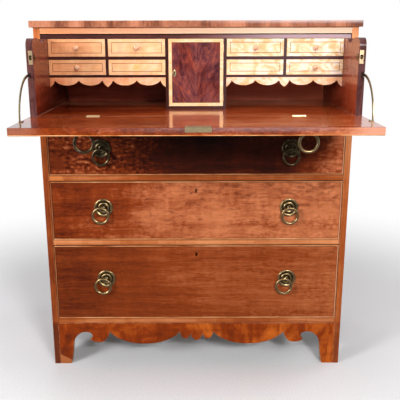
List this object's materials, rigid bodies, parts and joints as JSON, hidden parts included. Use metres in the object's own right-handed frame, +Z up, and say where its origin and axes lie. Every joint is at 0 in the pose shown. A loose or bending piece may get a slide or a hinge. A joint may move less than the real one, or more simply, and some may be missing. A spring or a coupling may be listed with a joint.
{
  "type": "secretaire chest of drawers",
  "caption": "Mahogany chest of drawers whose pull-out secretaire drawer has a let-down writing fall on quadrant stays and a fitted gallery; ring handles and shaped apron.",
  "frame": {"origin": "on the floor under the middle of the whole chest as stored, with the secretaire drawer pulled out and the fall open", "axes": "+X to the right as seen from the front, -Y out of the front, +Z up"},
  "size_m": [1.02, 0.9082, 1.166],
  "materials": {
    "mahogany": "french polish",
    "flame_mahogany": "french polish",
    "dark_mahogany": "french polish",
    "rosewood": "french polish",
    "satinwood": "french polish",
    "oak": "bare, aged",
    "brass": "aged, partly polished"
  },
  "bodies": {
    "carcass": {"top_board": "mahogany", "left_side": "mahogany", "right_side": "mahogany", "back_panel": "oak", "top_rail": "mahogany", "bottom_board": "mahogany", "lower_dustboard": "mahogany", "middle_dustboard": "mahogany", "upper_dustboard": "mahogany", "front_apron": "flame_mahogany"},
    "secretaire": {"secretaire_base": "dark_mahogany", "secretaire_back": "dark_mahogany", "secretaire_left_side": "dark_mahogany", "secretaire_right_side": "dark_mahogany", "gallery_top": "rosewood", "gallery_partitions": "rosewood", "left_valance": "satinwood", "right_valance": "satinwood", "left_catch_plate": "brass", "right_catch_plate": "brass"},
    "fall": {"fall_front": "mahogany", "fall_lock": "brass", "left_stay": "brass", "right_stay": "brass", "left_fall_hinge": "brass", "right_fall_hinge": "brass", "fall_left_plate": "brass", "fall_right_plate": "brass"},
    "cupboard_door": {"cupboard_door": "flame_mahogany"},
    "left_thumb_slide": {"left_thumb_slide": "brass"},
    "right_thumb_slide": {"right_thumb_slide": "brass"},
    "upper_drawer": {"upper_drawer_front": "mahogany", "upper_drawer_box": "oak", "upper_drawer_left_plate": "brass", "upper_drawer_right_plate": "brass"},
    "upper_drawer_left_ring": {"upper_drawer_left_ring": "brass"},
    "upper_drawer_right_ring": {"upper_drawer_right_ring": "brass"},
    "middle_drawer": {"middle_drawer_front": "mahogany", "middle_drawer_box": "oak", "middle_drawer_left_plate": "brass", "middle_drawer_right_plate": "brass"},
    "middle_drawer_left_ring": {"middle_drawer_left_ring": "brass"},
    "middle_drawer_right_ring": {"middle_drawer_right_ring": "brass"},
    "lower_drawer": {"lower_drawer_front": "mahogany", "lower_drawer_box": "oak", "lower_drawer_left_plate": "brass", "lower_drawer_right_plate": "brass"},
    "lower_drawer_left_ring": {"lower_drawer_left_ring": "brass"},
    "lower_drawer_right_ring": {"lower_drawer_right_ring": "brass"},
    "fall_left_ring": {"fall_left_ring": "brass"},
    "left_outer_upper_drawer": {"left_outer_upper_drawer": "satinwood"},
    "left_outer_lower_drawer": {"left_outer_lower_drawer": "satinwood"},
    "left_inner_upper_drawer": {"left_inner_upper_drawer": "satinwood"},
    "left_inner_lower_drawer": {"left_inner_lower_drawer": "satinwood"},
    "fall_right_ring": {"fall_right_ring": "brass"},
    "right_outer_upper_drawer": {"right_outer_upper_drawer": "satinwood"},
    "right_outer_lower_drawer": {"right_outer_lower_drawer": "satinwood"},
    "right_inner_upper_drawer": {"right_inner_upper_drawer": "satinwood"},
    "right_inner_lower_drawer": {"right_inner_lower_drawer": "satinwood"}
  },
  "joints": [
    {"name": "secretaire_slide", "type": "slide", "parent": "carcass", "child": "secretaire", "axis": [0, 1, 0], "range_m": [0, 0.199]},
    {"name": "fall_hinge", "type": "hinge", "parent": "secretaire", "child": "fall", "pos_m": [0, -0.2259, 0.8968], "axis": [-1, 0, 0], "range_deg": [0, 90]},
    {"name": "cupboard_door_hinge", "type": "hinge", "parent": "secretaire", "child": "cupboard_door", "pos_m": [0.085, -0.0459, 0.9048], "axis": [0, 0, 1], "range_deg": [0, 90]},
    {"name": "upper_drawer_slide", "type": "slide", "parent": "carcass", "child": "upper_drawer", "axis": [0, -1, 0], "range_m": [0, 0.27]},
    {"name": "upper_drawer_left_ring_swing", "type": "hinge", "parent": "upper_drawer", "child": "upper_drawer_left_ring", "pos_m": [-0.306, -0.0587, 0.77005], "axis": [-1, 0, 0], "range_deg": [-8, 90]},
    {"name": "upper_drawer_right_ring_swing", "type": "hinge", "parent": "upper_drawer", "child": "upper_drawer_right_ring", "pos_m": [0.306, -0.0587, 0.77005], "axis": [-1, 0, 0], "range_deg": [-8, 90]},
    {"name": "middle_drawer_slide", "type": "slide", "parent": "carcass", "child": "middle_drawer", "axis": [0, -1, 0], "range_m": [0, 0.34]},
    {"name": "middle_drawer_left_ring_swing", "type": "hinge", "parent": "middle_drawer", "child": "middle_drawer_left_ring", "pos_m": [-0.306, -0.0587, 0.57164], "axis": [-1, 0, 0], "range_deg": [-8, 90]},
    {"name": "middle_drawer_right_ring_swing", "type": "hinge", "parent": "middle_drawer", "child": "middle_drawer_right_ring", "pos_m": [0.306, -0.0587, 0.57133], "axis": [-1, 0, 0], "range_deg": [-8, 90]},
    {"name": "lower_drawer_slide", "type": "slide", "parent": "carcass", "child": "lower_drawer", "axis": [0, -1, 0], "range_m": [0, 0.34]},
    {"name": "lower_drawer_left_ring_swing", "type": "hinge", "parent": "lower_drawer", "child": "lower_drawer_left_ring", "pos_m": [-0.306, -0.0587, 0.3213], "axis": [-1, 0, 0], "range_deg": [-8, 90]},
    {"name": "lower_drawer_right_ring_swing", "type": "hinge", "parent": "lower_drawer", "child": "lower_drawer_right_ring", "pos_m": [0.306, -0.0587, 0.32122], "axis": [-1, 0, 0], "range_deg": [-8, 90]},
    {"name": "fall_left_ring_swing", "type": "hinge", "parent": "fall", "child": "fall_left_ring", "pos_m": [-0.306, -0.34, 0.864], "axis": [1, 0, 0], "range_deg": [-90, 90]},
    {"name": "left_thumb_slide_push", "type": "slide", "parent": "secretaire", "child": "left_thumb_slide", "axis": [0, 1, 0], "range_m": [0, 0.005]},
    {"name": "left_outer_upper_drawer_slide", "type": "slide", "parent": "secretaire", "child": "left_outer_upper_drawer", "axis": [0, -1, 0], "range_m": [0, 0.12]},
    {"name": "left_outer_lower_drawer_slide", "type": "slide", "parent": "secretaire", "child": "left_outer_lower_drawer", "axis": [0, -1, 0], "range_m": [0, 0.12]},
    {"name": "left_inner_upper_drawer_slide", "type": "slide", "parent": "secretaire", "child": "left_inner_upper_drawer", "axis": [0, -1, 0], "range_m": [0, 0.12]},
    {"name": "left_inner_lower_drawer_slide", "type": "slide", "parent": "secretaire", "child": "left_inner_lower_drawer", "axis": [0, -1, 0], "range_m": [0, 0.12]},
    {"name": "fall_right_ring_swing", "type": "hinge", "parent": "fall", "child": "fall_right_ring", "pos_m": [0.306, -0.34, 0.864], "axis": [1, 0, 0], "range_deg": [-90, 90]},
    {"name": "right_thumb_slide_push", "type": "slide", "parent": "secretaire", "child": "right_thumb_slide", "axis": [0, 1, 0], "range_m": [0, 0.005]},
    {"name": "right_outer_upper_drawer_slide", "type": "slide", "parent": "secretaire", "child": "right_outer_upper_drawer", "axis": [0, -1, 0], "range_m": [0, 0.12]},
    {"name": "right_outer_lower_drawer_slide", "type": "slide", "parent": "secretaire", "child": "right_outer_lower_drawer", "axis": [0, -1, 0], "range_m": [0, 0.12]},
    {"name": "right_inner_upper_drawer_slide", "type": "slide", "parent": "secretaire", "child": "right_inner_upper_drawer", "axis": [0, -1, 0], "range_m": [0, 0.12]},
    {"name": "right_inner_lower_drawer_slide", "type": "slide", "parent": "secretaire", "child": "right_inner_lower_drawer", "axis": [0, -1, 0], "range_m": [0, 0.12]}
  ]
}
